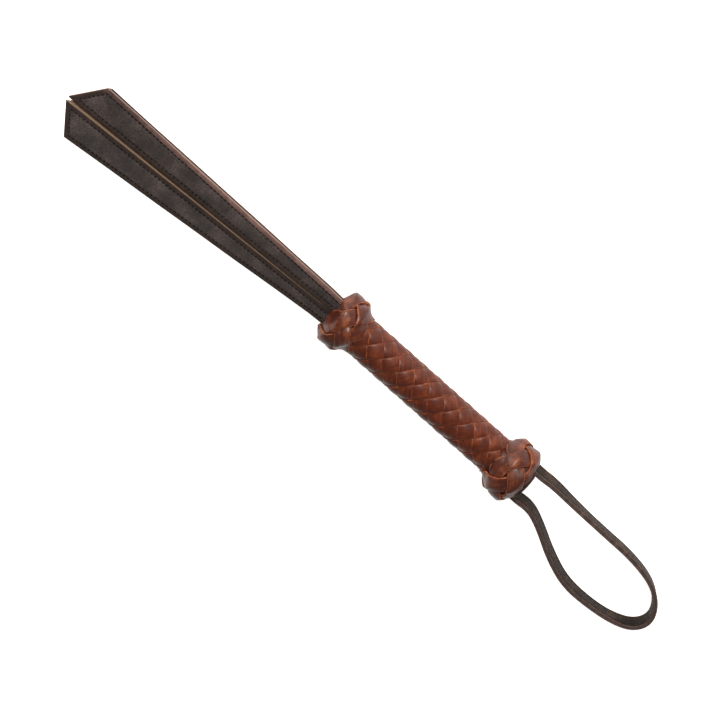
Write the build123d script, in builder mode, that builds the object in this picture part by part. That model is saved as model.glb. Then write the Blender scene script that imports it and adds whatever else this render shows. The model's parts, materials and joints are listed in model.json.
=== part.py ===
from build123d import *
from math import asin, atan, cos, degrees, hypot, pi, radians, sin, tan
import os

# Riding crop with a split leather blade, a braided grip between two Turk's-head knots and a wrist loop.
# Millimetres. +X runs from the butt to the tip of the blade, +Z is up, and the crop lies on Z = 0.
# The origin is on that surface, under the middle of the crop without its wrist loop.

# Driving dimensions
braid_length = 123.0  # visible between the two knots
braid_radius = 13.5
braid_bore = 10.9  # what the braid is plaited over
braid_lead = 66.0  # one full turn of a strand
braid_under_front = 14.0  # how far the braid runs on under each knot
braid_under_rear = 4.0
strands_each_way = 5
strand_gap = 1.5  # degrees
front_knot_length = 22.0
front_knot_radius = 19.35
rear_knot_length = 24.0
rear_knot_radius = 21.0
knot_lace = 2.4  # thickness of a knot's lace
knot_flats = 16  # the stiff lace bends round a knot in flats, and the crop lies on one of them
knot_fit = 0.1  # between the braid and a knot's ends
fit = 0.05  # between two pieces that lie on each other
mouth_lace = 1.8  # the front knot's lace where it is drawn in on the blade
mouth_gap = 0.5  # between that lace and the blade
rod_radius = 8.0
pin_radius = 1.5
pin_depth = 0.4  # the rivets' heads are sunk in the rod
pins_in_tongue = (20.0, 45.0)  # the rivets' distances behind the front knot's mouth
front_binding_radius = 14.25
front_binding_length = 7.0
front_binding_setback = 5.0  # from the braid's end at the front knot
rear_binding_radius = 15.8
rear_binding_length = 10.0
rear_binding_setback = 3.0  # from the rear knot's rear face
disc_radius = 13.2
disc_flats = 22.4  # the disc is cut straight beside the strap
disc_thickness = 2.0

blade_length = 219.0  # from the front knot to the tip
blade_mouth_width = 24.0
blade_shoulder_width = 48.0
tip_slope_length = 15.4  # from the shoulders to the tip
left_tail_rise = 5.15  # degrees that each tail rises from the grip's line
right_tail_rise = 4.35
layer_step = 1.3  # at the tip each layer ends this much behind the one in front of it
slit_gap = 0.6
slit_tip_gap = 1.6  # the slit opens over its last few millimetres
slit_opening = 6.0
slit_start = 7.5  # solid blade in front of the knot before the slit begins
layer = 1.4  # each of the blade's three layers
stitch_margin = 3.0
stitch_start = 0.5  # from the front knot's mouth
thread_width = 0.7
thread_proud = 0.25
tongue_width = 12.0
tongue_length = 60.0
tongue_shoulder = 5.0  # the root is full width to this far behind the mouth
slot_setback = 6.0  # from the front knot's mouth to the end of the core
filler_length = 4.7
filler_gap = 0.1  # between the core's end and the filler
filler_radius = 12.2
hinge_clearance = 0.4

strap_width = 11.0
strap_layer = 1.6  # each of the strap's two layers
strap_side = 13.0  # middle of the strap from the crop's axis where it leaves the knot
strap_tuck = 15.0  # how far the strap's ends reach under the knot
strap_stitch_row = 3.6
strap_hinge_out = 6.3  # from the knot's rear face to where the strap bends
bend_share = 0.45  # of the shorter run beside each corner of the strap's route is taken up by its bend

# Worked out from them
blade_half = 1.5 * layer
tail_hinge_out = slit_start + hinge_clearance + blade_half  # from the front knot's mouth
tail_length = blade_length - tail_hinge_out
axis_height = rear_knot_radius
handle_length = disc_thickness + rear_knot_length + braid_length + front_knot_length
right_rise = radians(right_tail_rise)
blade_reach = tail_hinge_out + tail_length * cos(right_rise) - layer / 2 * sin(right_rise)
butt_x = -(handle_length + blade_reach) / 2
rear_x = butt_x + disc_thickness
braid_rear_x = rear_x + rear_knot_length
braid_front_x = braid_rear_x + braid_length
mouth_x = braid_front_x + front_knot_length
root_front_x = mouth_x + slit_start
tail_hinge_x = mouth_x + tail_hinge_out
strap_hinge_x = rear_x - strap_hinge_out
slot_mouth_x = mouth_x - slot_setback
pin_places = [(mouth_x - distance, 0) for distance in pins_in_tongue]
binding_bore = braid_radius + fit
layer_names = ("back_leather", "board", "front_leather")
layer_bottoms = [i * layer - blade_half for i in range(3)]  # from the blade's middle plane
layer_setbacks = [i * layer_step for i in (2, 1, 0)]

os.makedirs("parts", exist_ok=True)


def save(part, name):
    part.label = name
    export_step(part, f"parts/{name}.step")


def across(x, height=axis_height):
    """The plane square to the crop's axis at x, with its own x along Y and its own y along Z."""
    return Plane(origin=(x, 0, height), x_dir=(0, 1, 0), z_dir=(1, 0, 0))


def half_width(distance):
    """Half the blade's width that far from the front knot's mouth."""
    share = distance / (blade_length - tip_slope_length)
    return (blade_mouth_width + share * (blade_shoulder_width - blade_mouth_width)) / 2


def ring(name, x, length, inner, outer):
    with BuildPart() as tube:
        with BuildSketch(across(x)):
            Circle(outer)
            Circle(inner, mode=Mode.SUBTRACT)
        extrude(amount=length)
    save(tube.part, name)


# Handle: wooden core with a sawn slot that takes the blade's tongue
with BuildPart() as core_rod:
    with BuildSketch(across(rear_x)):
        Circle(rod_radius)
    extrude(amount=slot_mouth_x - rear_x)
    with BuildSketch(Plane.XY.offset(axis_height - blade_half)):
        with Locations((slot_mouth_x, 0)):
            Rectangle(2 * tongue_length, 4 * rod_radius)
    extrude(amount=2 * blade_half, mode=Mode.SUBTRACT)
    with BuildSketch(Plane.XY):
        with Locations(*pin_places):
            Circle(pin_radius)
    extrude(amount=3 * axis_height, mode=Mode.SUBTRACT)
save(core_rod.part, "core_rod")

# The two rivets that hold the tongue in the slot
with BuildPart() as tongue_pins:
    with BuildSketch(Plane.XY.offset(axis_height - rod_radius + pin_depth)):
        with Locations(*pin_places):
            Circle(pin_radius)
    extrude(amount=2 * (rod_radius - pin_depth))
save(tongue_pins.part, "tongue_pins")

braid_start_x = braid_rear_x - braid_under_rear
braid_end_x = braid_front_x + braid_under_front
ring("core_sleeve", rear_x, braid_end_x - rear_x, rod_radius, braid_bore)


# Braid: five right-hand and five left-hand strands
def strand(name, turn, start_angle, inner, outer):
    """A strand wound round the core: turn is 1 for a right-hand helix and -1 for a left-hand one."""
    length = braid_end_x - braid_start_x
    spread = 360 / strands_each_way - strand_gap
    with BuildSketch(across(braid_start_x)) as section:
        with BuildLine():
            inside = CenterArc((0, 0), inner, start_angle, spread)
            outside = CenterArc((0, 0), outer, start_angle, spread)
            Line(inside @ 0, outside @ 0)
            Line(inside @ 1, outside @ 1)
        make_face()
    twisted = Solid.extrude_linear_with_rotation(
        section.sketch.faces()[0],
        center=(braid_start_x, 0, axis_height),
        normal=(length, 0, 0),
        angle=turn * 360 * length / braid_lead,
    )
    with BuildPart() as ribbon:
        add(twisted)
    save(ribbon.part, name)


mid_radius = (braid_bore + braid_radius) / 2
for i in range(strands_each_way):
    angle = i * 360 / strands_each_way
    strand(f"right_hand_strand_{i + 1}", 1, angle, braid_bore, mid_radius - fit)
    strand(f"left_hand_strand_{i + 1}", -1, angle, mid_radius + fit, braid_radius)


# Knots: a woven lace over a leather foundation
def place_at(line, radius):
    """Where along the axis a sloping profile line has that radius."""
    (x1, r1), (x2, r2) = line
    return x1 + (x2 - x1) * (radius - r1) / (r2 - r1)


def turned(x, profile):
    """A solid of revolution from its profile of (distance in front of x, radius) points."""
    with BuildPart() as solid:
        with BuildSketch(Plane.XZ):
            with BuildLine():
                Polyline(*[(x + d, axis_height + r) for d, r in profile], close=True)
            make_face()
        revolve(axis=Axis((0, 0, axis_height), (1, 0, 0)))
    return solid.part


def flats(half_wide, half_high):
    """The corners of a knot's section, a regular polygon pressed flat at half_high up and down."""
    corner = half_wide / cos(pi / knot_flats)
    turns = [(i + 0.5) * 2 * pi / knot_flats for i in range(knot_flats)]
    return [(corner * cos(t), max(-half_high, min(half_high, corner * sin(t)))) for t in turns]


def lofted(x, sections):
    """A solid through (distance in front of x, half width, half height) sections."""
    with BuildPart() as solid:
        for distance, half_wide, half_high in sections:
            with BuildSketch(across(x + distance)):
                with BuildLine():
                    Polyline(*flats(half_wide, half_high), close=True)
                make_face()
        loft(ruled=True)
    return solid.part


def knot(prefix, x, outside, inside, end_heights, foundation_bore):
    """outside and inside are the lace's own profile lines, four (distance, radius) points each.
    end_heights are the outer and inner half heights at the front end."""
    outer_end, inner_end = end_heights
    outer = lofted(x, [(d, r, r) for d, r in outside[:3]] + [(*outside[3], outer_end)])
    hollow_end = lofted(x, [(*inside[2], inside[2][1]), (*inside[3], inner_end)])
    with BuildPart() as hollow:
        add(turned(x, [(inside[0][0], 0), *inside[:3], (inside[2][0], 0)]))
        add(hollow_end)
    with BuildPart() as lace:
        add(outer)
        add(hollow.part, mode=Mode.SUBTRACT)
    save(lace.part, f"{prefix}_knot")
    start = place_at(inside[:2], foundation_bore)
    end = place_at(inside[2:], foundation_bore)
    base = turned(x, [(start, foundation_bore), inside[1], inside[2], (end, foundation_bore)])
    with BuildPart() as foundation:
        add(base)
        add(hollow.part, mode=Mode.INTERSECT)
    save(foundation.part, f"{prefix}_knot_foundation")
    return hollow_end


rear_top = rear_knot_radius
front_top = front_knot_radius
rear_end = (14.2, braid_radius + knot_fit)
knot(
    "rear",
    rear_x,
    outside=[(0, 16.4), (5.0, rear_top), (16.6, rear_top), (rear_knot_length, rear_end[0])],
    inside=[
        (0, 15.75),
        (5.4, rear_top - knot_lace),
        (16.0, rear_top - knot_lace),
        (rear_knot_length, rear_end[1]),
    ],
    end_heights=rear_end,
    foundation_bore=rear_binding_radius + fit,
)
mouth_hollow = knot(
    "front",
    braid_front_x,
    outside=[(0, 14.2), (6.3, front_top), (17.8, front_top), (front_knot_length, 14.0)],
    inside=[
        (0, braid_radius + knot_fit),
        (6.9, front_top - knot_lace),
        (17.2, front_top - knot_lace),
        (front_knot_length, 12.5),
    ],
    end_heights=(blade_half + mouth_gap + mouth_lace, blade_half + mouth_gap),
    foundation_bore=front_binding_radius + fit,
)

# Waxed thread over the front end of the braid
ring("front_binding", braid_front_x + front_binding_setback, front_binding_length, binding_bore, front_binding_radius)

# Waxed thread round the core and the strap's two tucked ends
with BuildPart() as rear_binding:
    with BuildSketch(across(rear_x + rear_binding_setback)):
        Circle(rear_binding_radius)
        Circle(braid_bore + fit, mode=Mode.SUBTRACT)
        Rectangle(2 * (strap_side + strap_layer), strap_width, mode=Mode.SUBTRACT)
    extrude(amount=rear_binding_length)
save(rear_binding.part, "rear_binding")

# Leather packing above and below the blade in the front knot's mouth
with BuildPart() as mouth_filler:
    with BuildSketch(across(slot_mouth_x + filler_gap)):
        Circle(filler_radius)
    extrude(amount=filler_length)
    add(mouth_hollow, mode=Mode.INTERSECT)
    with BuildSketch(across(slot_mouth_x)):
        Rectangle(4 * braid_radius, 2 * blade_half)
    extrude(amount=2 * filler_length, mode=Mode.SUBTRACT)
save(mouth_filler.part, "mouth_filler")

# Leather disc that closes the butt
with BuildPart() as butt_disc:
    with BuildSketch(across(butt_x)):
        Circle(disc_radius)
        Rectangle(disc_flats, 3 * disc_radius, mode=Mode.INTERSECT)
    extrude(amount=disc_thickness)
save(butt_disc.part, "butt_disc")


# Blade root: three glued layers that run back as a tongue into the core's slot
one_side = [
    (root_front_x, half_width(slit_start)),
    (mouth_x - tongue_shoulder, half_width(-tongue_shoulder)),
    (mouth_x - tongue_shoulder, tongue_width / 2),
    (mouth_x - tongue_length, tongue_width / 2),
]
root_outline = one_side + [(x, -y) for x, y in reversed(one_side)]
for name, bottom in zip(layer_names, layer_bottoms):
    with BuildPart() as root_layer:
        with BuildSketch(Plane.XY.offset(axis_height + bottom)):
            with BuildLine():
                Polyline(*root_outline, close=True)
            make_face()
            with Locations(*pin_places):
                Circle(pin_radius, mode=Mode.SUBTRACT)
        extrude(amount=layer)
    save(root_layer.part, f"root_{name}")

thread_bottoms = (blade_half, -blade_half - thread_proud)  # on the front and on the back
with BuildPart() as root_stitching:
    for bottom in thread_bottoms:
        with BuildSketch(Plane.XY.offset(axis_height + bottom)):
            for side in (-1, 1):
                near = (mouth_x + stitch_start, side * (half_width(stitch_start) - stitch_margin))
                far = (root_front_x, side * (half_width(slit_start) - stitch_margin))
                step = side * thread_width
                with BuildLine():
                    Polyline(near, far, (far[0], far[1] - step), (near[0], near[1] - step), close=True)
                make_face()
        extrude(amount=thread_proud)
save(root_stitching.part, "root_stitching")

# Tails: the two halves of the blade, each hinged on a rounded end at the slit's root
def tail_outline(side, setback):
    """The corners of a tail, side 1 for the left one and -1 for the right one. Its tip is cut back by setback."""
    slit_side = side * slit_gap / 2
    sloped = tip_slope_length + setback
    return [
        (-blade_half, slit_side),
        (tail_length - slit_opening, slit_side),
        (tail_length - setback, side * slit_tip_gap / 2),
        (tail_length - sloped, side * half_width(blade_length - sloped)),
        (-blade_half, side * half_width(tail_hinge_out - blade_half)),
    ]


for side, tail, tail_rise in ((1, "left", left_tail_rise), (-1, "right", right_tail_rise)):
    # The tail's plane has its origin on the hinge axis and its own x along the slit
    rise = radians(tail_rise)
    tail_plane = Plane(
        origin=(tail_hinge_x, 0, axis_height),
        x_dir=(cos(rise), 0, sin(rise)),
        z_dir=(-sin(rise), 0, cos(rise)),
    )
    side_plane = Plane(origin=tail_plane.origin, x_dir=tail_plane.x_dir, z_dir=(0, -1, 0))
    for name, bottom, setback in zip(layer_names, layer_bottoms, layer_setbacks):
        with BuildPart() as tail_layer:
            with BuildSketch(tail_plane.offset(bottom)):
                with BuildLine():
                    Polyline(*tail_outline(side, setback), close=True)
                make_face()
            extrude(amount=layer)
            # The heel of the stack is trimmed to the circle round its hinge axis
            with BuildSketch(side_plane.offset(-blade_shoulder_width)):
                Circle(blade_half)
                Rectangle(blade_length, 2 * blade_half, align=(Align.MIN, Align.CENTER))
            extrude(amount=2 * blade_shoulder_width, mode=Mode.INTERSECT)
        save(tail_layer.part, f"{tail}_tail_{name}")
    with BuildPart() as tail_stitching:
        for bottom, setback in zip(thread_bottoms, (0, 2 * layer_step)):
            with BuildSketch(tail_plane.offset(bottom)):
                with BuildLine():
                    Polyline(*tail_outline(side, setback), close=True)
                make_face()
                offset(amount=-stitch_margin, kind=Kind.INTERSECTION, mode=Mode.REPLACE)
                offset(amount=-thread_width, kind=Kind.INTERSECTION, mode=Mode.SUBTRACT)
            extrude(amount=thread_proud)
    save(tail_stitching.part, f"{tail}_tail_stitching")

# Wrist loop: a two-layer strap on edge, drooping from the butt until its far end lies on the surface.
# The route is (out from the hinge, towards the right-hand side), along the strap's middle.
route = [
    (0, strap_side),
    (10.5, strap_side),
    (31, 10.0),
    (57, 7.2),
    (84, 5.2),
    (107, -1.0),
    (121.5, -12.0),
    (129, -26),
    (124.5, -38.5),
    (110, -44.6),
    (90, -46),
    (68, -44),
    (46, -33.5),
    (27, -21),
    (12, -strap_side),
    (0, -strap_side),
]


def corner_radii(points):
    """For each corner, bend_share of the shorter run beside it over the tangent of half the turn."""
    radii = []
    for before, here, after in zip(points, points[1:], points[2:]):
        run_in = Vector(*here) - Vector(*before)
        run_out = Vector(*after) - Vector(*here)
        half_turn = radians(run_in.get_angle(run_out)) / 2
        radii.append(bend_share * min(run_in.length, run_out.length) / tan(half_turn))
    return radii


route_radii = corner_radii(route)
with BuildLine() as flat_route:
    FilletPolyline(*route, radius=route_radii)
flat_wire = flat_route.wires()[0]
reach = flat_wire.bounding_box().max.X + strap_layer
half_strap = strap_width / 2
droop = degrees(asin(axis_height / hypot(reach, half_strap)) - atan(half_strap / reach))
print("strap radii", [round(r, 1) for r in route_radii])
print("strap length", round(flat_wire.length, 1), "droop in degrees", round(droop, 2))

# The loop's plane turns about the hinge axis; its own x runs outward and its own y to the right-hand side
outward = (-cos(radians(droop)), 0, -sin(radians(droop)))
loop_plane = Plane(
    origin=(strap_hinge_x, 0, axis_height),
    x_dir=outward,
    z_dir=(outward[2], 0, -outward[0]),
)
strap_start = Plane(
    origin=loop_plane.from_local_coords((0, strap_side, 0)),
    x_dir=loop_plane.y_dir,
    z_dir=loop_plane.x_dir,
)

for name, align in (("outer", Align.MIN), ("inner", Align.MAX)):
    with BuildPart() as strap_layer_part:
        with BuildLine(loop_plane):
            FilletPolyline(*route, radius=route_radii)
        with BuildSketch(strap_start):
            Rectangle(strap_layer, strap_width, align=(align, Align.CENTER))
        sweep()
        # Each end is rounded about the hinge axis
        for side in (-1, 1):
            near = strap_side if name == "outer" else strap_side - strap_layer
            with BuildSketch(Plane.XZ.offset(side * near)):
                with Locations((strap_hinge_x, axis_height)):
                    Circle(half_strap)
                    with Locations(Rotation(0, 0, droop)):
                        Rectangle(
                            strap_width,
                            2 * strap_width,
                            align=(Align.MAX, Align.CENTER),
                            mode=Mode.SUBTRACT,
                        )
            extrude(amount=side * strap_layer)
    save(strap_layer_part.part, f"strap_{name}_layer")

# Thread in two rows on each face of the strap
with BuildPart() as strap_stitching:
    with BuildLine(loop_plane):
        FilletPolyline(*route, radius=route_radii)
    with BuildSketch(strap_start):
        face_offset = strap_layer + thread_proud / 2
        rows = [(x, y) for x in (-face_offset, face_offset) for y in (-strap_stitch_row, strap_stitch_row)]
        with Locations(*rows):
            Rectangle(thread_proud, thread_width)
    sweep()
save(strap_stitching.part, "strap_stitching")

# The strap's two ends, tucked under the rear knot
for side, name in ((1, "left"), (-1, "right")):
    with BuildPart() as strap_end:
        with BuildSketch(across(rear_x)):
            with Locations((side * strap_side, 0)):
                Rectangle(2 * strap_layer, strap_width)
        extrude(amount=strap_tuck)
    save(strap_end.part, f"strap_end_{name}")
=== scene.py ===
"""Looks of a short riding crop: split stitched blade, braided grip between two woven knots, wrist loop."""

import json

import bpy
import numpy as np
from math import atan2, cos, pi, radians, sin
from mathutils import Matrix, Vector


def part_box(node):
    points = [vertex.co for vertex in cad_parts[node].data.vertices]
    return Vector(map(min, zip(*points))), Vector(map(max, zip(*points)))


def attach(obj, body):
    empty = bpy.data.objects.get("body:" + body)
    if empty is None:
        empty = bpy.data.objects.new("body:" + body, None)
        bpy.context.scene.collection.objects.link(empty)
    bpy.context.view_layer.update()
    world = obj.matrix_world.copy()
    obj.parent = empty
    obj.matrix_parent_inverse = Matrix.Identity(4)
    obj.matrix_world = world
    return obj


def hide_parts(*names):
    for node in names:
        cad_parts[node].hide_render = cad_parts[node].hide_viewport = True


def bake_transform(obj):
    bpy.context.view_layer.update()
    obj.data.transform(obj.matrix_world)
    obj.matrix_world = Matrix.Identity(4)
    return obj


MM = 0.001
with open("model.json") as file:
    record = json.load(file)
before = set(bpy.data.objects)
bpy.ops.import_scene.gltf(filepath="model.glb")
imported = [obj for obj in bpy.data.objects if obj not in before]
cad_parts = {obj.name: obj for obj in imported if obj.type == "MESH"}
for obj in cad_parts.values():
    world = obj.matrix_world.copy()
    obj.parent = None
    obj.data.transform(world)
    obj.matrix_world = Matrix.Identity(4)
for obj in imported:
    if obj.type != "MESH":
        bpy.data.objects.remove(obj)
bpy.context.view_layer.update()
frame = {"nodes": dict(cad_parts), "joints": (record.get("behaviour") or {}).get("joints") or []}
joints = {j["name"]: j for j in frame["joints"]}
nodes = frame["nodes"]

front_knot_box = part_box("front_knot")
AXIS_Z = joints["wrist_loop_swing"]["pos_m"][2]
STRAP_HINGE_X = joints["wrist_loop_swing"]["pos_m"][0]
REAR_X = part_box("rear_knot")[0][0]
BRAID_FRONT_X, MOUTH_X = front_knot_box[0][0], front_knot_box[1][0]


# ---------------------------------------------------------------- camera
def make_camera():
    """The camera from above the right side, turned so that the blade points up and left in the picture."""
    azimuth, elevation, roll = radians(16.06), radians(55.37), radians(151.84)
    distance = 2.0
    target = Vector((-0.0601, 0.0143, AXIS_Z))
    forward = Vector((-sin(azimuth) * cos(elevation), cos(azimuth) * cos(elevation), -sin(elevation)))
    right = Vector((cos(azimuth), sin(azimuth), 0))
    up = right.cross(forward)
    screen_right = cos(roll) * right - sin(roll) * up
    screen_up = sin(roll) * right + cos(roll) * up
    data = bpy.data.cameras.new("camera")
    data.lens = 153.9
    data.sensor_width = 36.0
    camera = bpy.data.objects.new("camera", data)
    bpy.context.scene.collection.objects.link(camera)
    turn = Matrix((screen_right, screen_up, -forward)).transposed()
    camera.matrix_world = Matrix.Translation(target - distance * forward) @ turn.to_4x4()
    bpy.context.scene.camera = camera
    return target, forward, screen_right, screen_up


target, forward, screen_right, screen_up = make_camera()


# ---------------------------------------------------------------- mesh helpers
def mesh_object(name, points, faces, uvs=None, materials=(), indices=None, smooth=True):
    """A mesh from points, faces, one uv for each point, and a material index for each face."""
    mesh = bpy.data.meshes.new(name)
    mesh.from_pydata([tuple(map(float, p)) for p in points], [], faces)
    for m in materials:
        mesh.materials.append(m)
    if indices is not None:
        mesh.polygons.foreach_set("material_index", indices)
    if uvs is not None:
        layer = mesh.uv_layers.new(name="UVMap")
        corners = np.zeros(len(mesh.loops), int)
        mesh.loops.foreach_get("vertex_index", corners)
        layer.data.foreach_set("uv", np.asarray(uvs, float)[corners].ravel())
    mesh.polygons.foreach_set("use_smooth", [smooth] * len(mesh.polygons))
    mesh.validate()
    mesh.update()
    o = bpy.data.objects.new(name, mesh)
    bpy.context.scene.collection.objects.link(o)
    return o


def band_section(width, thickness, across, corner, crown=0.0):
    """A flat lace's section as (lateral, height) points, with round corners and a crowned top."""
    half, top = width / 2, thickness / 2
    flat = np.linspace(-half + corner, half - corner, across)
    rise = crown * (1 - (flat / half) ** 2)
    quarter = np.linspace(0, pi / 2, 4)[1:-1]
    right_top = [(half - corner + corner * sin(a), top - corner + corner * cos(a)) for a in quarter]
    points = [(w, top + r) for w, r in zip(flat, rise)]
    points += right_top + [(half, top - corner)]
    points += [(half, -top + corner)] + [(w, -h) for w, h in reversed(right_top)]
    points += [(w, -top) for w in flat[::-1]]
    points += [(-w, -h) for w, h in right_top]
    points += [(-half, -top + corner), (-half, top - corner)]
    points += [(-w, h) for w, h in reversed(right_top)]
    return points


def swept(name, stations, section, place, materials, edge_from):
    """A tube whose points are place(station, lateral, height). Beyond edge_from it takes material 1."""
    count = len(section)
    laterals = np.array([p[0] for p in section])
    heights = np.array([p[1] for p in section])
    rows = [place(s, laterals, heights) for s in stations]
    points = np.concatenate(rows)
    centre = np.array([place(s, np.zeros(1), np.zeros(1))[0] for s in stations])
    along = np.concatenate([[0], np.cumsum(np.linalg.norm(np.diff(centre, axis=0), axis=1))])
    uvs = np.stack([np.repeat(along, count), np.tile(laterals, len(stations))], axis=1)
    faces, indices = [], []
    rings = len(stations)
    for r in range(rings - 1):
        a, b = r * count, (r + 1) * count
        for c in range(count):
            d = (c + 1) % count
            faces.append((a + c, a + d, b + d, b + c))
            indices.append(1 if abs(laterals[c] + laterals[d]) / 2 > edge_from else 0)
    faces.append(tuple(range(count - 1, -1, -1)))
    faces.append(tuple(range((rings - 1) * count, rings * count)))
    indices += [0, 0]
    return mesh_object(name, points, faces, uvs, materials, indices)


# ---------------------------------------------------------------- materials
def srgb(r, g, b, share=0.62):
    """A linear colour that shows as these sRGB numbers, 0 to 255, in the scene's strong light."""
    return tuple(share * ((c / 255 + 0.055) / 1.055) ** 2.4 for c in (r, g, b)) + (1,)


class Nodes:
    """Short names for building one material."""

    def __init__(self, name, coordinates="UV"):
        self.material = bpy.data.materials.new(name)
        self.material.use_nodes = True
        self.tree = self.material.node_tree
        self.shader = self.tree.nodes["Principled BSDF"]
        self.place = self.new("ShaderNodeTexCoord").outputs[coordinates]

    def new(self, kind, **settings):
        node = self.tree.nodes.new(kind)
        for key, value in settings.items():
            setattr(node, key, value)
        return node

    def link(self, a, b):
        self.tree.links.new(a, b)

    def put(self, socket, value):
        if isinstance(value, bpy.types.NodeSocket):
            self.link(value, socket)
        else:
            socket.default_value = value

    def noise(self, scale, detail=3, rough=0.5, stretch=None):
        node = self.new("ShaderNodeTexNoise")
        where = self.place
        if stretch:
            mapping = self.new("ShaderNodeMapping")
            mapping.inputs["Scale"].default_value = stretch
            self.link(where, mapping.inputs["Vector"])
            where = mapping.outputs["Vector"]
        self.link(where, node.inputs["Vector"])
        node.inputs["Scale"].default_value = scale
        node.inputs["Detail"].default_value = detail
        node.inputs["Roughness"].default_value = rough
        return node.outputs["Fac"]

    def cells(self, scale, place=None):
        node = self.new("ShaderNodeTexVoronoi", feature="DISTANCE_TO_EDGE")
        self.link(place or self.place, node.inputs["Vector"])
        node.inputs["Scale"].default_value = scale
        return node.outputs["Distance"]

    def ramp(self, fac, stops):
        node = self.new("ShaderNodeValToRGB")
        self.link(fac, node.inputs["Fac"])
        ramp = node.color_ramp
        while len(ramp.elements) < len(stops):
            ramp.elements.new(0.5)
        for element, (at, colour) in zip(ramp.elements, stops):
            element.position = at
            element.color = colour if len(colour) == 4 else (*colour, 1)
        return node.outputs["Color"]

    def math(self, operation, a, b=0.0, clamp=False):
        node = self.new("ShaderNodeMath", operation=operation, use_clamp=clamp)
        self.put(node.inputs[0], a)
        self.put(node.inputs[1], b)
        return node.outputs[0]

    def mix(self, fac, a, b):
        node = self.new("ShaderNodeMix", data_type="RGBA")
        self.put(node.inputs["Factor"], fac)
        self.put(node.inputs[6], a)
        self.put(node.inputs[7], b)
        return node.outputs[2]

    def bump(self, height, distance, strength=1.0, normal=None):
        node = self.new("ShaderNodeBump")
        node.inputs["Distance"].default_value = distance
        node.inputs["Strength"].default_value = strength
        self.link(height, node.inputs["Height"])
        if normal:
            self.link(normal, node.inputs["Normal"])
        return node.outputs["Normal"]

    def finish(self, colour, roughness, normal, **uniform):
        self.put(self.shader.inputs["Base Color"], colour)
        self.put(self.shader.inputs["Roughness"], roughness)
        if normal:
            self.link(normal, self.shader.inputs["Normal"])
        for name, value in uniform.items():
            self.shader.inputs[name.replace("_", " ")].default_value = value
        return self.material


def grained_leather(name, dark, mid, light, cell=1100, coordinates="UV", specular=0.4):
    """Dark bridle leather with a pebbled grain, slightly mottled, with painted shade in the grain's
    crevices.
    """
    n = Nodes(name, coordinates)
    wander = n.noise(500, 2)
    shifted = n.new("ShaderNodeMixRGB", blend_type="ADD")
    shifted.inputs[0].default_value = 0.0006
    n.link(n.place, shifted.inputs[1])
    n.link(wander, shifted.inputs[2])
    pebble = n.cells(cell, place=shifted.outputs[0])
    crease = n.math("SMOOTH_MIN", n.math("MULTIPLY", pebble, 6.0), 1.0)
    blotch = n.noise(60, 4, 0.6)
    fine = n.noise(2500, 2)
    tone = n.math("ADD", n.math("MULTIPLY", blotch, 0.6), n.math("MULTIPLY", n.noise(900, 3), 0.4))
    colour = n.ramp(tone, [(0.36, dark), (0.5, mid), (0.64, light)])
    # painted shade: the colour darkens towards the dark stop in the grain's crevices
    colour = n.mix(n.math("MULTIPLY", n.math("SUBTRACT", 1.0, crease), 0.6), colour, dark)
    height = n.math("ADD", crease, n.math("MULTIPLY", fine, 0.25))
    normal = n.bump(height, 0.3 * MM, 1.0)
    roughness = n.math("ADD", 0.42, n.math("MULTIPLY", n.noise(350, 3), 0.25))
    return n.finish(colour, roughness, normal, Specular_IOR_Level=specular)


def smooth_leather(name, dark, mid, light, coat=0.06):
    """Waxed lace leather: streaks along it, fine creases and a satin surface."""
    n = Nodes(name)
    streak = n.noise(1.0, 4, 0.55, stretch=(90, 700, 1))
    blotch = n.noise(110, 4, 0.6)
    tone = n.math("ADD", n.math("MULTIPLY", blotch, 0.65), n.math("MULTIPLY", streak, 0.35))
    colour = n.ramp(tone, [(0.3, dark), (0.5, mid), (0.7, light)])
    pores = n.cells(1800)
    creases = n.noise(1.0, 5, 0.6, stretch=(600, 260, 1))
    height = n.math("ADD", n.math("MULTIPLY", pores, 1.5), n.math("MULTIPLY", creases, 1.2))
    normal = n.bump(height, 0.06 * MM, 0.6)
    swell = n.bump(n.noise(160, 2), 0.5 * MM, 0.35, normal)
    roughness = n.math("ADD", 0.34, n.math("MULTIPLY", n.noise(240, 3), 0.22))
    wax = {"Specular_IOR_Level": 0.22, "Coat_Weight": coat, "Coat_Roughness": 0.22}
    return n.finish(colour, roughness, swell, **wax)


EDGE_STOPS = (0.32, 0.5, 0.68)


def edge_leather(name, colour_of):
    """A cut and burnished edge: fibres along it and worn paint. colour_of makes the colour from a tone."""
    n = Nodes(name)
    fibre = n.noise(1.0, 4, 0.6, stretch=(250, 3500, 1))
    worn = n.noise(180, 4, 0.65)
    tone = n.math("ADD", n.math("MULTIPLY", fibre, 0.5), n.math("MULTIPLY", worn, 0.5))
    normal = n.bump(n.noise(1400, 3), 0.08 * MM, 0.6)
    roughness = n.math("ADD", 0.5, n.math("MULTIPLY", worn, 0.25))
    return n.finish(colour_of(n, tone), roughness, normal, Specular_IOR_Level=0.35)


def cut_edge(name, dark, mid, light):
    return edge_leather(name, lambda n, tone: n.ramp(tone, list(zip(EDGE_STOPS, (dark, mid, light)))))


def graded_highlight_edge(name, near, far, start, span):
    """A cut edge's painted highlight, whose three colours change from near to far over a span of the
    blade's length.
    """

    def colour_of(n, tone):
        parts = n.new("ShaderNodeSeparateXYZ")
        n.link(n.place, parts.inputs[0])
        share = n.math("DIVIDE", n.math("SUBTRACT", parts.outputs["X"], start), span, clamp=True)
        return n.mix(share, *(n.ramp(tone, list(zip(EDGE_STOPS, colours))) for colours in (near, far)))

    return edge_leather(name, colour_of)


def waxed_thread(name, dark, light):
    n = Nodes(name, "Object")
    twist = n.noise(3500, 2)
    colour = n.ramp(twist, [(0.35, dark), (0.65, light)])
    return n.finish(colour, 0.65, n.bump(twist, 0.08 * MM, 0.7), Specular_IOR_Level=0.15)


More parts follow.
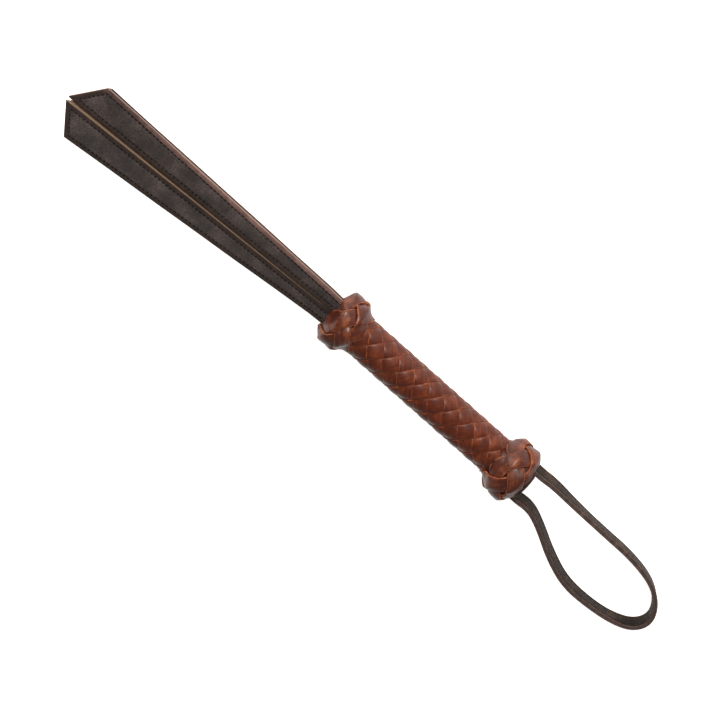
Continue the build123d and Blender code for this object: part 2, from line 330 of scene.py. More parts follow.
def inner_stuff(name, dark, light, scale):
    """Wood, brass and packing that are hidden in the handle."""
    n = Nodes(name, "Object")
    grain = n.noise(scale, 4, 0.6, stretch=(0.15, 1, 1))
    colour = n.ramp(grain, [(0.35, dark), (0.65, light)])
    roughness = n.math("ADD", 0.5, n.math("MULTIPLY", grain, 0.2))
    return n.finish(colour, roughness, n.bump(grain, 0.1 * MM, 0.4))


blade_face = grained_leather("blade_face", srgb(38, 31, 30), srgb(73, 63, 63), srgb(118, 105, 104))
# painted shade: the stitch groove is a darker copy of the face colour
blade_groove = grained_leather("blade_groove", srgb(36, 26, 23), srgb(62, 49, 45), srgb(90, 74, 68))
blade_margin = cut_edge("blade_margin", srgb(28, 19, 16), srgb(49, 36, 32), srgb(74, 56, 50))
# painted highlight: the right tail's outer margin faces the light and is painted in a paler copy of the
# margin colour, palest on the part near the mouth and darker towards the tip
pale_margin = graded_highlight_edge(
    "pale_margin",
    (srgb(80, 58, 54), srgb(118, 90, 84), srgb(154, 124, 116)),
    (srgb(40, 28, 25), srgb(74, 55, 51), srgb(124, 96, 89)),
    start=0.12,
    span=0.08,
)
# painted light: the front layer's cut edge is the burnished edge paint made paler as a painted highlight,
# and the back layer's cut edge is the same edge painted darker as shade
blade_edge = cut_edge("blade_edge", srgb(112, 84, 76), srgb(158, 124, 114), srgb(188, 156, 142))
back_edge = cut_edge("back_edge", srgb(52, 38, 32), srgb(78, 62, 54), srgb(104, 86, 76))
board_edge = cut_edge("board_edge", srgb(26, 15, 12), srgb(42, 27, 22), srgb(62, 44, 36))
slit_edge = cut_edge("slit_edge", srgb(84, 64, 50), srgb(132, 108, 88), srgb(168, 142, 116))
strap_face = grained_leather(
    "strap_face", srgb(14, 7, 4), srgb(46, 28, 19), srgb(104, 76, 58), cell=1300, specular=0.15
)
strap_edge = cut_edge("strap_edge", srgb(54, 40, 36), srgb(88, 69, 65), srgb(124, 99, 92))
braid_face = smooth_leather("braid_face", srgb(58, 19, 6), srgb(93, 34, 11), srgb(134, 62, 26))
braid_edge = cut_edge("braid_edge", srgb(56, 20, 9), srgb(112, 48, 18), srgb(210, 118, 58))
knot_face = smooth_leather("knot_face", srgb(50, 17, 7), srgb(86, 32, 13), srgb(148, 78, 45), coat=0.16)
# painted shade: the leather between the laces is a darker copy of the lace colour
knot_under = smooth_leather("knot_under", srgb(40, 14, 8), srgb(72, 29, 18), srgb(104, 50, 33))
knot_edge = cut_edge("knot_edge", srgb(74, 30, 14), srgb(146, 72, 36), srgb(214, 134, 86))
dark_thread = waxed_thread("dark_thread", srgb(6, 3, 3), srgb(20, 11, 9))
strap_thread_finish = waxed_thread("strap_thread_finish", srgb(30, 18, 14), srgb(74, 52, 42))
wood = inner_stuff("wood", srgb(150, 105, 62), srgb(190, 146, 95), 300)
brass = inner_stuff("brass", srgb(140, 105, 50), srgb(190, 150, 80), 900)
packing = inner_stuff("packing", srgb(40, 18, 11), srgb(80, 38, 24), 700)
disc_face = grained_leather(
    "disc_face", srgb(40, 14, 8), srgb(70, 28, 17), srgb(104, 50, 33), coordinates="Object"
)

# The CAD pieces that stay as they are, most of them hidden in the handle
plain = {"core_rod": wood, "tongue_pins": brass, "butt_disc": disc_face}
for name, node in nodes.items():
    node.data.materials.clear()
    node.data.materials.append(plain.get(name, packing))


# ---------------------------------------------------------------- braid
BRAID_LEAD = 66 * MM
STRANDS = 5
BRAID_MID = 12.2 * MM
BRAID_WAVE = 0.75 * MM
STRAND_WIDTH = 9.8 * MM
STRAND_THICKNESS = 1.5 * MM
STRAND_STEP = 360 / STRANDS
STRAND_EDGE = 0.4 * MM  # how much of a lace's width its cut edge takes on each side
BRAID_END = 4 * MM  # how much shorter the strands are than their nodes, at each end
# one place where four strands' corners meet, the angle in degrees from +Z
CROSSING_X, CROSSING_ANGLE = BRAID_FRONT_X - 8.5 * MM, 26.8
TURN = 360 / BRAID_LEAD
first_angle = {hand: CROSSING_ANGLE - hand * TURN * CROSSING_X - STRAND_STEP / 2 for hand in (1, -1)}


def round_axis(x, angle, radius):
    """Points round the crop's axis; the angle is in degrees from +Z towards -Y."""
    a = np.radians(angle)
    return np.stack([x + 0 * a, -radius * np.sin(a), AXIS_Z + radius * np.cos(a)], axis=-1)


def weave(phase):
    """The height wave of a strand, from 1 where it lies over to -1 where it lies under, with broad tops."""
    c = np.cos(pi * phase)
    return np.sign(c) * np.abs(c) ** 0.8


def braid_strand(hand, number):
    """One strand of the braid. hand is 1 for a right-hand turn and -1 for a left-hand one."""
    lean = atan2(2 * pi * BRAID_MID, BRAID_LEAD)
    section = band_section(STRAND_WIDTH, STRAND_THICKNESS, across=11, corner=0.5 * MM, crown=0.3 * MM)

    def place(x, lateral, height):
        angle = first_angle[hand] + STRAND_STEP * number + hand * TURN * x
        there_x = x - lateral * sin(lean)
        there = angle + hand * np.degrees(lateral * cos(lean) / BRAID_MID)
        other = (there + hand * TURN * there_x - first_angle[-hand]) / STRAND_STEP
        phase = (other - number) if hand == 1 else (number - other)
        radius = BRAID_MID + hand * BRAID_WAVE * weave(phase) + height
        return round_axis(there_x, there, radius)

    low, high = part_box("left_hand_strand_1")
    stations = np.linspace(low[0] + BRAID_END, high[0] - BRAID_END, 150)
    side = "right" if hand == 1 else "left"
    piece = swept(
        f"{side}_braid_strand_{number + 1}",
        stations,
        section,
        place,
        materials=(braid_face, braid_edge),
        edge_from=STRAND_WIDTH / 2 - STRAND_EDGE,
    )
    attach(piece, "handle")
    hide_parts(f"{side}_hand_strand_{number + 1}")


for hand in (1, -1):
    for number in range(STRANDS):
        braid_strand(hand, number)


# ---------------------------------------------------------------- knots
LEADS, BIGHTS = 3, 5
LACE_THICKNESS = 1.7 * MM
# the depth of the lace's middle under the knot's surface, and its rise and fall there, in thicknesses
LACE_DEPTH, LACE_LIFT = 0.9, 0.62
UNDER_LACE = 1.45 * LACE_THICKNESS  # the depth of the leather that shows between the lace's edges
CROSSING_STEP = 0.8 * MM  # how near along the lace another pass counts as the one that crosses there
CROSSING_REACH = 0.54  # and how near sideways, in widths of the lace
CROSSING_ROUNDS = 14  # rounds of smoothing between over and under


class KnotSurface:
    """A knot's outer surface by length along its profile and by angle, pressed flat at the mouth end."""

    def __init__(self, x, corners, pressed=()):
        xs, rs = np.array(corners).T * MM
        fine = np.linspace(xs[0], xs[-1], 500)
        radius = np.interp(fine, xs, rs)
        spread = np.exp(-np.linspace(-2.5, 2.5, 31) ** 2)
        padded = np.pad(radius, 15, mode="reflect", reflect_type="odd")
        radius = np.convolve(padded, spread / spread.sum(), "valid")
        self.x, self.r = x + fine, radius
        self.s = np.concatenate([[0], np.cumsum(np.hypot(np.diff(self.x), np.diff(self.r)))])
        self.length = self.s[-1]
        self.pressed = [(x + d * MM, h * MM) for d, h in pressed]

    def point(self, s, a):
        """The place at length s along the profile and angle a from the top."""
        x, r = np.interp(s, self.s, self.x), np.interp(s, self.s, self.r)
        y, z = -r * np.sin(a), r * np.cos(a)
        if self.pressed:
            limit = np.interp(x, *zip(*self.pressed))
            z = z / (1 + (np.abs(z) / limit) ** 6) ** (1 / 6)
        return np.stack([x, y, AXIS_Z + z], axis=-1)

    def raised(self, s, a, out):
        """That place moved out along the surface's normal."""
        step = 0.3 * MM
        along = self.point(s + step, a) - self.point(s - step, a)
        turn = step / self.r.max()
        around = self.point(s, a + turn) - self.point(s, a - turn)
        normal = np.cross(around, along)
        normal /= np.maximum(np.linalg.norm(normal, axis=-1, keepdims=True), 1e-12)
        return self.point(s, a) + normal * out[..., None]


def woven_knot(name, surface, width, phase, count=720):
    """One lace that goes three times round with five bights at each rim, over one and under one."""
    reach = surface.length / 2 - width / 2 + STRAND_EDGE
    middle, mean_radius = surface.length / 2, surface.r.max()
    t = np.arange(count) * 2 * pi / count
    centre_s = middle + reach * np.cos(BIGHTS * t)
    centre_a = LEADS * t
    slope_s = -reach * BIGHTS * np.sin(BIGHTS * t)
    slope_a = mean_radius * LEADS * np.ones(count)
    size = np.hypot(slope_s, slope_a)
    side_s, side_a = slope_a / size, -slope_s / size
    section = band_section(width, LACE_THICKNESS, across=13, corner=0.5 * MM, crown=0.3 * MM)
    lateral, height = np.array(section).T
    s = centre_s[:, None] + side_s[:, None] * lateral
    a = centre_a[:, None] + side_a[:, None] * lateral / mean_radius
    over = np.sin(2 * BIGHTS * t)
    # where another pass of the lace lies under or over a point, the lace rises or sinks there
    crossed = np.zeros_like(s, bool)
    same_pass = count // 24
    for shift in range(same_pass, count - same_pass):
        other = (np.arange(count) + shift) % count
        ds = s - centre_s[other][:, None]
        da = ((a - centre_a[other][:, None] + pi) % (2 * pi) - pi) * mean_radius
        along = (ds * slope_s[other][:, None] + da * slope_a[other][:, None]) / size[other][:, None]
        sideways = np.abs(ds * side_s[other][:, None] + da * side_a[other][:, None])
        crossed |= (np.abs(along) < CROSSING_STEP) & (sideways < width * CROSSING_REACH)
    lift = crossed * np.sign(over)[:, None]
    for _ in range(CROSSING_ROUNDS):
        lift = (np.roll(lift, 1, axis=0) + lift * 2 + np.roll(lift, -1, axis=0)) / 4
    wrinkle = 0.12 * MM * np.sin(9 * t[:, None] + 300 * lateral) * np.sin(23 * t[:, None] - 420 * lateral)
    out = LACE_THICKNESS * (LACE_LIFT * lift - LACE_DEPTH) + height + wrinkle * (height > 0)
    points = surface.raised(s, a + phase, out).reshape(-1, 3)
    columns = len(section)
    length = np.concatenate([[0], np.cumsum(size[:-1] * 2 * pi / count)])
    uvs = np.stack([np.repeat(length, columns), np.tile(lateral, count)], axis=1)
    faces, indices = [], []
    for r in range(count):
        for c in range(columns):
            d, n = (c + 1) % columns, (r + 1) % count
            faces.append((r * columns + c, r * columns + d, n * columns + d, n * columns + c))
            indices.append(1 if abs(lateral[c] + lateral[d]) / 2 > width / 2 - STRAND_EDGE else 0)
    piece = mesh_object(f"{name}_lace", points, faces, uvs, (knot_face, knot_edge), indices)
    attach(piece, "handle")
    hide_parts(name)


def under_lace(name, surface, rings=60, around=96):
    """The leather that shows between the lace's edges, painted in a darker copy of the lace's colour as
    shade in the gaps.
    """
    lengths, angles = np.linspace(0, surface.length, rings), np.arange(around) * 2 * pi / around
    depth = np.full(around, -UNDER_LACE)
    points = np.concatenate([surface.raised(np.full(around, s), angles, depth) for s in lengths])
    uvs = np.stack(np.meshgrid(lengths, angles * surface.r.max(), indexing="ij"), axis=-1).reshape(-1, 2)
    faces = []
    for r in range(0, (rings - 1) * around, around):
        for c in range(around):
            d = (c + 1) % around
            faces.append((r + c, r + around + c, r + around + d, r + d))
    piece = mesh_object(f"{name}_under_lace", points, faces, uvs, (knot_under,))
    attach(piece, "handle")
    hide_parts(f"{name}_foundation")


rear_surface = KnotSurface(
    REAR_X, [(-0.4, 13.0), (0.1, 16.6), (5.0, 21.0), (16.6, 21.0), (23.6, 15.2), (26.2, 14.9)]
)
front_surface = KnotSurface(
    BRAID_FRONT_X,
    [(-2.4, 14.9), (0.2, 15.2), (6.3, 19.35), (17.6, 19.35), (22.6, 14.2)],
    pressed=[(12, 60), (16, 26), (18.5, 15), (20.5, 8.5), (22, 5), (22.6, 4.6)],
)
for name, surface, width, phase in (
    ("rear_knot", rear_surface, 11.6 * MM, 0.3),
    ("front_knot", front_surface, 11.0 * MM, 0.0),
):
    woven_knot(name, surface, width, phase)
    under_lace(name, surface)


# ---------------------------------------------------------------- blade
BLADE_LENGTH = 219 * MM
MOUTH_WIDTH, SHOULDER_WIDTH = 24 * MM, 48 * MM
TIP_SLOPE = 15.4 * MM
TIP_TURN = atan2(TIP_SLOPE, SHOULDER_WIDTH / 2)
SLIT_START, SLIT_HALF_GAP, SLIT_OPENING = 7.5 * MM, 0.3 * MM, 14 * MM
HALF_THICKNESS = 2.1 * MM
LAYER = 1.4 * MM
STITCH_INSET, STITCH_PITCH = 3.35 * MM, 3.05 * MM
STITCH_SIZE = 2.2 * MM, 1.25 * MM, 0.9 * MM  # long, wide and high
STITCH_SINK = 0.3 * MM  # how deep a stitch's middle lies in the leather
TAILS = {1: "left", -1: "right"}
RISE = {1: radians(5.15), -1: radians(4.35)}  # the left tail lies a little higher than the right one
BEND_FROM, BEND_TO = 7.5 * MM, 12.5 * MM
LAYER_STEP = 1.3 * MM  # each layer ends this much behind the one in front of it
INSIDE_KNOT = 4 * MM
FACE, GROOVE, OUTER_MARGIN, MARGIN, RIM, SLIT_RIM = range(6)  # the places of a layer's finishes
GROOVE_HALF_WIDTH = 0.55 * MM
# the grid's lines beside an edge, as distances from it
EDGE_STEPS = np.array([0, 0.12, 0.35, 0.7, 1.4, 2.1, 2.6, 2.95, 3.35, 3.75, 4.1, 4.8]) * MM

bend_places = np.linspace(-0.02, 0.24, 1301)
bend_share = np.clip((bend_places - BEND_FROM) / (BEND_TO - BEND_FROM), 0, 1)
bend_share = bend_share * bend_share * (3 - 2 * bend_share)
bend_step = np.diff(bend_places, prepend=bend_places[0])
root = bend_places.searchsorted(0)


def on_blade(side, along, lateral, height):
    """A point from its distance in front of the mouth, its place across and its height off the middle."""
    angles = RISE[side] * bend_share
    forward_x, forward_z = np.cumsum(np.cos(angles) * bend_step), np.cumsum(np.sin(angles) * bend_step)
    angle = np.interp(along, bend_places, angles)
    x = MOUTH_X + np.interp(along, bend_places, forward_x - forward_x[root]) - height * np.sin(angle)
    z = AXIS_Z + np.interp(along, bend_places, forward_z - forward_z[root]) + height * np.cos(angle)
    return np.stack([x, lateral + 0 * x, z], axis=-1)


def outer_edge(along):
    """Half the blade's width that far from the mouth."""
    share = along / (BLADE_LENGTH - TIP_SLOPE)
    return (MOUTH_WIDTH + share * (SHOULDER_WIDTH - MOUTH_WIDTH)) / 2


def inner_edge(along):
    """The slit's side: closed before the slit starts, and a little open at the tip."""
    opened = np.clip((along - SLIT_START) / (1.5 * MM), 0, 1)
    at_tip = np.clip((along - (BLADE_LENGTH - SLIT_OPENING)) / SLIT_OPENING, 0, 1) ** 2
    return SLIT_HALF_GAP * opened + 0.3 * MM * at_tip


def tip_end(across):
    """Where the slanted tip ends, its corner beside the slit a little rounded."""
    corner = 0.4 * MM * np.exp(-across / (0.6 * MM))
    return BLADE_LENGTH - TIP_SLOPE * across / (SHOULDER_WIDTH / 2) - corner


def rim_distance(along, across):
    """How far a point is from the nearest of the outer edge and the tip's edge of its half of the blade."""
    return np.maximum(np.minimum(outer_edge(along) - across, (tip_end(across) - along) * cos(TIP_TURN)), 0)


def edge_distance(along, across):
    """How far a point is from the nearest cut edge of its half of the blade, the slit's side among them."""
    return np.minimum(rim_distance(along, across), np.maximum(across - inner_edge(along), 0))


def half_grid(lengthwise=96, crosswise=9):
    """Rows along and columns across one half of the blade, close together at edges and stitching."""
    margin = EDGE_STEPS[-1]
    columns = [("in", step) for step in EDGE_STEPS]
    columns += [("middle", share) for share in np.linspace(0, 1, crosswise)[1:-1]]
    columns += [("out", step) for step in EDGE_STEPS[::-1]]
    rows = [("body", share) for share in np.linspace(0, 1, lengthwise)]
    rows += [("tip", step) for step in EDGE_STEPS[::-1][1:]]
    along = np.zeros((len(rows), len(columns)))
    across = np.zeros_like(along)
    for c, (kind, value) in enumerate(columns):
        for r, (zone, position) in enumerate(rows):
            # the slanted tip ties the two measures together, so they settle in a few rounds
            y = SHOULDER_WIDTH / 6
            for _ in range(12):
                limit = tip_end(y)
                if zone == "tip":
                    d = limit - position / cos(TIP_TURN)
                else:
                    last = limit - margin / cos(TIP_TURN)
                    d = position * (last + INSIDE_KNOT) - INSIDE_KNOT
                low, high = inner_edge(d), outer_edge(d)
                if kind == "in":
                    y = low + value
                elif kind == "out":
                    y = high - value
                else:
                    y = low + margin + value * (high - low - 2 * margin)
            along[r, c], across[r, c] = d, y
    return along, across


grid_along, grid_across = half_grid()
grid_edge = edge_distance(grid_along, grid_across)
grid_rim = rim_distance(grid_along, grid_across)


def blade_skin(distance, rim, along, across):
    """How far the leather's outer face stands from its height: round edge, stitched groove, soft crown."""
    edge = -0.35 * MM * np.clip(1 - rim / (0.8 * MM), 0, 1) ** 2
    slope = -0.3 * MM * np.clip(1 - rim / STITCH_INSET, 0, 1)
    groove = -0.35 * MM * np.exp(-(((distance - STITCH_INSET) / (0.5 * MM)) ** 2))
    crown = 0.3 * MM * (1 - np.exp(-np.clip(distance - STITCH_INSET, 0, 1) / (3.5 * MM)))
    wander = 0.08 * MM * (np.sin(along * 95 + across * 60) + np.sin(along * 41 - across * 130))
    return edge + slope + groove + crown + wander


def blade_layer(side, name, low, high, skin_low, skin_high, finishes, step, inset=0.0):
    """One layer of half a blade between two heights. finishes are those of the face, groove, outer margin,
    other margins, outer rims and slit rim. step shortens it at the tip, and inset draws its edges in."""
    rows, columns = grid_along.shape
    skin = blade_skin(grid_edge, grid_rim, grid_along, grid_across)
    pull = inset * np.clip(1 - grid_edge / (0.5 * MM), 0, 1)
    middle = (inner_edge(grid_along) + outer_edge(grid_along)) / 2
    outward = np.sign(grid_across - middle)
    pulled = np.where((grid_along > SLIT_START) | (outward > 0), pull, 0)
    across = grid_across - outward * pulled
    shorter = np.clip((grid_along - 0.8 * BLADE_LENGTH) / (0.15 * BLADE_LENGTH), 0, 1)
    along = grid_along - shorter * step
    top = high + (skin if skin_high else 0 * skin)
    bottom = low - (skin if skin_low else 0 * skin)
    upper = on_blade(side, along.ravel(), side * across.ravel(), top.ravel())
    lower = on_blade(side, along.ravel(), side * across.ravel(), bottom.ravel())
    points = np.concatenate([upper, lower])
    n = rows * columns
    uvs = np.stack([along.ravel(), across.ravel()], axis=1)
    uvs = np.concatenate([uvs, uvs + [0.3, 0.0]])
    faces, indices = [], []

    def add(face, index):
        faces.append(face if side == 1 else face[::-1])
        indices.append(index)

    for r in range(rows - 1):
        for c in range(columns - 1):
            a, b = r * columns + c, (r + 1) * columns + c
            distance = (grid_edge[r, c] + grid_edge[r + 1, c + 1]) / 2
            outermost = outer_edge(grid_along[r, c]) - grid_across[r, c] < STITCH_INSET
            if distance > STITCH_INSET + GROOVE_HALF_WIDTH:
                kind = FACE
            elif distance > STITCH_INSET - GROOVE_HALF_WIDTH:
                kind = GROOVE
            else:
                kind = OUTER_MARGIN if outermost else MARGIN
            add((a, b, b + 1, a + 1), kind)
            add((n + a, n + a + 1, n + b + 1, n + b), kind)
    for r in range(rows - 1):
        a, b = r * columns, (r + 1) * columns
        if grid_along[r, 0] > SLIT_START - 1 * MM:
            add((a, n + a, n + b, b), SLIT_RIM)
        a, b = a + columns - 1, b + columns - 1
        add((a, b, n + b, n + a), RIM)
    for c in range(columns - 1):
        a = (rows - 1) * columns + c
        add((a + 1, a, n + a, n + a + 1), RIM)
        add((c, c + 1, n + c + 1, n + c), FACE)
    tail = TAILS[side]
    piece = mesh_object(f"{tail}_{name}", points, faces, uvs, finishes, indices)
    mark_creases(piece)
    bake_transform(piece)
    return piece


def mark_creases(piece):
    """Sharp shading where a face meets a rim."""
    mesh = piece.data
    kinds = {}
    for polygon in mesh.polygons:
        for key in polygon.edge_keys:
            kinds.setdefault(key, set()).add(polygon.material_index >= RIM)
    sharp = [len(kinds[tuple(sorted(e.vertices))]) > 1 for e in mesh.edges]
    attribute = mesh.attributes.get("sharp_edge") or mesh.attributes.new("sharp_edge", "BOOLEAN", "EDGE")
    attribute.data.foreach_set("value", sharp)


def stitch_lines():
    """Stitch places of one half: beside the outer edge, along the tip and back beside the slit."""
    outer = [(d, outer_edge(d) - STITCH_INSET) for d in np.linspace(1 * MM, BLADE_LENGTH - TIP_SLOPE, 400)]
    outer = np.array([p for p in outer if rim_distance(*p) > STITCH_INSET - 0.05 * MM])
    inner_y = SLIT_HALF_GAP + STITCH_INSET
    inner_d = BLADE_LENGTH - TIP_SLOPE * inner_y / (SHOULDER_WIDTH / 2) - STITCH_INSET / cos(TIP_TURN)
    tip = np.linspace(outer[-1], (inner_d, inner_y), 60)[1:]
    inner = [(d, inner_y) for d in np.linspace(inner_d, 1 * MM, 400)[1:]]
    ring = np.concatenate([outer, tip, inner])
    length = np.concatenate([[0], np.cumsum(np.linalg.norm(np.diff(ring, axis=0), axis=1))])
    count = int(length[-1] / STITCH_PITCH)
    at = (np.arange(count) + 0.5) * length[-1] / count

    def on_ring(where):
        return np.stack([np.interp(where, length, ring[:, k]) for k in (0, 1)], axis=1)

    direction = on_ring(at + 0.4 * MM) - on_ring(at - 0.4 * MM)
    return on_ring(at), direction / np.linalg.norm(direction, axis=1)[:, None]


def bead(length, width, height, rings=7, around=8):
    """One stitch: a short thread that dives at both ends, as (along, across, up) points and faces."""
    points, faces = [], []
    for i in range(rings):
        f = i / (rings - 1)
        bulge = sin(pi * (0.08 + 0.84 * f)) ** 0.6
        for k in range(around):
            a = 2 * pi * k / around
            up = height / 2 * bulge * sin(a) - height * 0.55 * (2 * f - 1) ** 4
            points.append(((f - 0.5) * length, width / 2 * bulge * cos(a), up))
    for i in range(rings - 1):
        for k in range(around):
            n = (k + 1) % around
            faces.append((i * around + k, i * around + n, (i + 1) * around + n, (i + 1) * around + k))
    faces.append(tuple(range(around - 1, -1, -1)))
    faces.append(tuple((rings - 1) * around + k for k in range(around)))
    return np.array(points), faces


def blade_thread(side):
    """The stitches of one half, on the front and on the back."""
    places, directions = stitch_lines()
    shape, shape_faces = bead(*STITCH_SIZE)
    points, faces = [], []
    for face_side in (1, -1):
        for (d, y), (cd, cy) in zip(places, directions):
            level = face_side * (HALF_THICKNESS - STITCH_SINK)
            along = d + shape[:, 0] * cd - shape[:, 1] * cy
            across = y + shape[:, 0] * cy + shape[:, 1] * cd
            base = len(points)
            points.extend(on_blade(side, along, side * across, level + face_side * shape[:, 2]))
            flip = (face_side * side) < 0
            faces.extend(tuple(base + i for i in (f[::-1] if flip else f)) for f in shape_faces)
    tail = TAILS[side]
    piece = mesh_object(f"{tail}_blade_thread", points, faces, None, (dark_thread,), [0] * len(faces))
    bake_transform(piece)
    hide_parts(f"{tail}_tail_stitching")
    return piece


for side, tail in TAILS.items():
    # the right tail's outer margin takes the painted highlight, the left tail's the plain margin colour
    outer_margin = blade_margin if side == 1 else pale_margin
    margins = (blade_face, blade_groove, outer_margin, blade_margin)
    # the front layer's rims take the painted highlight, the back layer's rims the painted shade
    front_finishes, back_finishes = (*margins, blade_edge, slit_edge), (*margins, back_edge, slit_edge)
    board_finishes = (*(board_edge,) * SLIT_RIM, slit_edge)
    low, high = 0.5 * LAYER, HALF_THICKNESS
    front = blade_layer(side, "front_leather", low, high, False, True, front_finishes, 0)
    back = blade_layer(side, "back_leather", -high, -low, True, False, back_finishes, 2 * LAYER_STEP)
    board = blade_layer(
        side, "blade_board", -low, low, False, False, board_finishes, LAYER_STEP, inset=0.2 * MM
    )
    for piece, node, slot in (
        (front, "front_leather", "blade_leather"),
        (back, "back_leather", "blade_leather"),
        (board, "board", "blade_board"),
    ):
        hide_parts(f"{tail}_tail_{node}")
    blade_thread(side)

# The root's own nodes are covered by the two halves, which run back into the knot
for piece, node in (
    ("left_front_leather", "root_front_leather"),
    ("left_back_leather", "root_back_leather"),
    ("left_blade_board", "root_board"),
    ("left_blade_thread", "root_stitching"),
):
    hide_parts(node)


# ---------------------------------------------------------------- wrist strap
STRAP_WIDTH, STRAP_LAYER = 11 * MM, 1.6 * MM
STRAP_SIDE = 13 * MM
STRAP_STITCH_ROW, STRAP_STITCH_PITCH = 3.6 * MM, 3.2 * MM
STRAP_STITCH_SIZE, STRAP_STITCH_SINK = (2.2 * MM, 0.7 * MM, 0.5 * MM), 0.08 * MM
STRAP_STITCH_START = -5 * MM  # in front of the hinge the strap is under the knot and has no stitches
STRAP_TUCK = 15 * MM
STRAP_EDGE = 0.4 * MM
DROOP = radians(6.9)
# the route as millimetres behind the hinge and to the right, in the loop's own plane
STRAP_ROUTE = [
    (0, 13), (10.5, 13), (31, 10.0), (57, 7.2), (84, 5.2), (107, -1.0), (121.5, -12.0), (129.0, -26.0),
    (124.5, -38.5), (110, -44.6), (90, -46), (68, -44), (46, -33.5), (27, -21), (12, -13), (0, -13),
]
# how far the strap's top leans out of the loop, in degrees, at shares of its length
STRAP_LEAN = [
    (0, 0), (0.08, 2), (0.2, 16), (0.42, 15), (0.52, 2),
    (0.6, -13), (0.68, -4), (0.76, 5), (0.9, 0), (1, 0),
]


def strap_line():
    """The strap's smooth middle line in the loop's plane, from under the knot round the loop and back."""
    hinge_to_tuck = (REAR_X + STRAP_TUCK - STRAP_HINGE_X) / MM
    tucked = [(-hinge_to_tuck, STRAP_SIDE / MM), (-hinge_to_tuck / 2, STRAP_SIDE / MM)]
    route = tucked + STRAP_ROUTE + [(x, -y) for x, y in reversed(tucked)]
    curve = bpy.data.curves.new("strap_line", "CURVE")
    curve.dimensions = "3D"
    spline = curve.splines.new("NURBS")
    spline.points.add(len(route) - 1)
    for point, (out, right) in zip(spline.points, route):
        point.co = (out * MM, right * MM, 0, 1)
    spline.order_u = 3
    spline.use_endpoint_u = True
    spline.resolution_u = 16
    holder = bpy.data.objects.new("strap_line", curve)
    mesh = bpy.data.meshes.new_from_object(holder)
    line = np.array([v.co[:2] for v in mesh.vertices])
    bpy.data.meshes.remove(mesh)
    bpy.data.objects.remove(holder)
    bpy.data.curves.remove(curve)
    length = np.concatenate([[0], np.cumsum(np.linalg.norm(np.diff(line, axis=0), axis=1))])
    keep = np.concatenate([[True], np.diff(length) > 1e-7])
    line, length = line[keep], length[keep]
    even = np.linspace(0, length[-1], 420)
    return np.stack([np.interp(even, length, line[:, k]) for k in (0, 1)], axis=1), even


def in_loop(out, right, height):
    """A point from its place in the loop's plane, which droops behind the hinge and is level before it."""
    turn = DROOP * np.clip((out + 4 * MM) / (8 * MM), 0, 1)
    x = STRAP_HINGE_X - out * np.cos(turn) - height * np.sin(turn)
    z = AXIS_Z - out * np.sin(turn) + height * np.cos(turn)
    return np.stack([x, -right + 0 * x, z], axis=-1)


line, line_length = strap_line()
tangent = np.gradient(line, axis=0)
tangent /= np.linalg.norm(tangent, axis=1)[:, None]
aside = np.stack([-tangent[:, 1], tangent[:, 0]], axis=1)  # outward from the loop
lean = np.radians(np.interp(line_length / line_length[-1], *zip(*STRAP_LEAN)))
for _ in range(400):
    lean[1:-1] = (lean[:-2] + 2 * lean[1:-1] + lean[2:]) / 4


def on_strap(out, right, side_out, side_right, tip, across, away):
    """A point from a place on the strap's middle line, its outward direction and its lean."""
    outward = away * np.cos(tip) + across * np.sin(tip)
    height = across * np.cos(tip) - away * np.sin(tip)
    return in_loop(out + side_out * outward, right + side_right * outward, height)


def strap_layer(name, low, high, nodes_replaced):
    """One of the strap's two layers, from low to high off the middle line, pressed in at the stitches."""
    section = band_section(STRAP_WIDTH, high - low, across=15, corner=0.45 * MM)

    def place(i, lateral, height):
        away = (low + high) / 2 + height
        rows = 0.16 * MM * np.exp(-(((np.abs(lateral) - STRAP_STITCH_ROW) / (0.45 * MM)) ** 2))
        outside = height * (1 if low >= 0 else -1) > 0
        pressed = np.where(outside, -rows if low >= 0 else rows, 0)
        return on_strap(*line[i], *aside[i], lean[i], lateral, away + pressed)

    piece = swept(
        name,
        range(len(line)),
        section,
        place,
        materials=(strap_face, strap_edge),
        edge_from=STRAP_WIDTH / 2 - STRAP_EDGE,
    )
    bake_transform(piece)
    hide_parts(*nodes_replaced)
    return piece


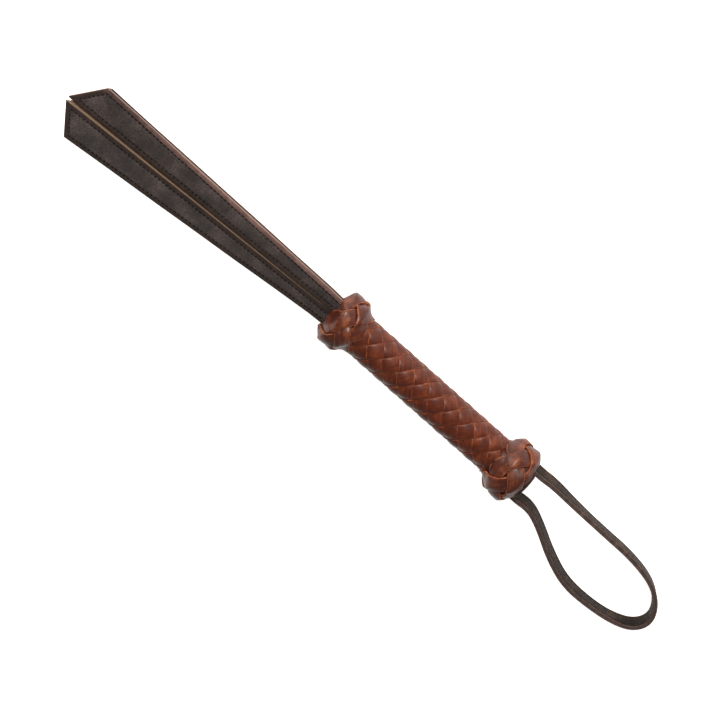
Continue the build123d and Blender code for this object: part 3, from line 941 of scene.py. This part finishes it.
def strap_thread():
    """Two rows of stitches on each side of the strap."""
    shape, shape_faces = bead(*STRAP_STITCH_SIZE)
    count = int(line_length[-1] / STRAP_STITCH_PITCH)
    points, faces = [], []
    for i in range(count):
        at = (i + 0.5) * line_length[-1] / count
        centre = np.array([np.interp(at, line_length, line[:, k]) for k in (0, 1)])
        if centre[0] < STRAP_STITCH_START:
            continue
        ahead = np.array([np.interp(at, line_length, tangent[:, k]) for k in (0, 1)])
        tip = np.interp(at, line_length, lean)
        for face_side in (1, -1):
            for row in (-STRAP_STITCH_ROW, STRAP_STITCH_ROW):
                away = face_side * (STRAP_LAYER - STRAP_STITCH_SINK + shape[:, 2])
                out, right = centre[0] + ahead[0] * shape[:, 0], centre[1] + ahead[1] * shape[:, 0]
                base = len(points)
                points.extend(on_strap(out, right, -ahead[1], ahead[0], tip, row + shape[:, 1], away))
                flipped = [f[::-1] for f in shape_faces] if face_side > 0 else shape_faces
                faces.extend(tuple(base + k for k in f) for f in flipped)
    piece = mesh_object("strap_thread", points, faces, None, (strap_thread_finish,), [0] * len(faces))
    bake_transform(piece)
    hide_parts("strap_stitching")
    return piece


outer_nodes, inner_nodes = ("strap_outer_layer", "strap_end_left"), ("strap_inner_layer", "strap_end_right")
outer_layer = strap_layer("strap_outer_leather", 0, STRAP_LAYER, outer_nodes)
inner_layer = strap_layer("strap_inner_leather", -STRAP_LAYER, 0, inner_nodes)
thread = strap_thread()


# ---------------------------------------------------------------- floor and light
def make_floor():
    """A plain pale floor that glows a little, so that it shows white."""
    n = Nodes("floor", "Object")
    tone = n.noise(6, 2)
    colour = n.ramp(tone, [(0.3, (0.93, 0.93, 0.93, 1)), (0.7, (0.96, 0.96, 0.96, 1))])
    n.finish(colour, 0.9, None)
    n.link(colour, n.shader.inputs["Emission Color"])
    n.shader.inputs["Emission Strength"].default_value = 0.75
    size = 6.0
    corners = [(-size, -size, 0), (size, -size, 0), (size, size, 0), (-size, size, 0)]
    floor = mesh_object("floor", corners, [(0, 1, 2, 3)], None, (n.material,), [0], smooth=False)
    floor.location.z = -0.0005


def area_light(name, place, size, power, colour=(1, 1, 1)):
    data = bpy.data.lights.new(name, "AREA")
    data.shape = "DISK"
    data.size = size
    data.energy = power
    data.color = colour
    light = bpy.data.objects.new(name, data)
    bpy.context.scene.collection.objects.link(light)
    light.location = place
    light.rotation_euler = (target - Vector(place)).to_track_quat("-Z", "Y").to_euler()


make_floor()
WARM = (1, 0.95, 0.88)
area_light("key", target - forward * 1.2 + screen_right * 0.25 + screen_up * 0.45, 0.4, 19, WARM)
area_light("rim", target - forward * 0.5 - screen_right * 0.6 + screen_up * 0.9, 0.5, 7, WARM)

world = bpy.data.worlds.new("world")
world.use_nodes = True
world.node_tree.nodes["Background"].inputs["Color"].default_value = (1, 0.93, 0.85, 1)
world.node_tree.nodes["Background"].inputs["Strength"].default_value = 0.5
bpy.context.scene.world = world
bpy.context.scene.view_settings.view_transform = "Standard"
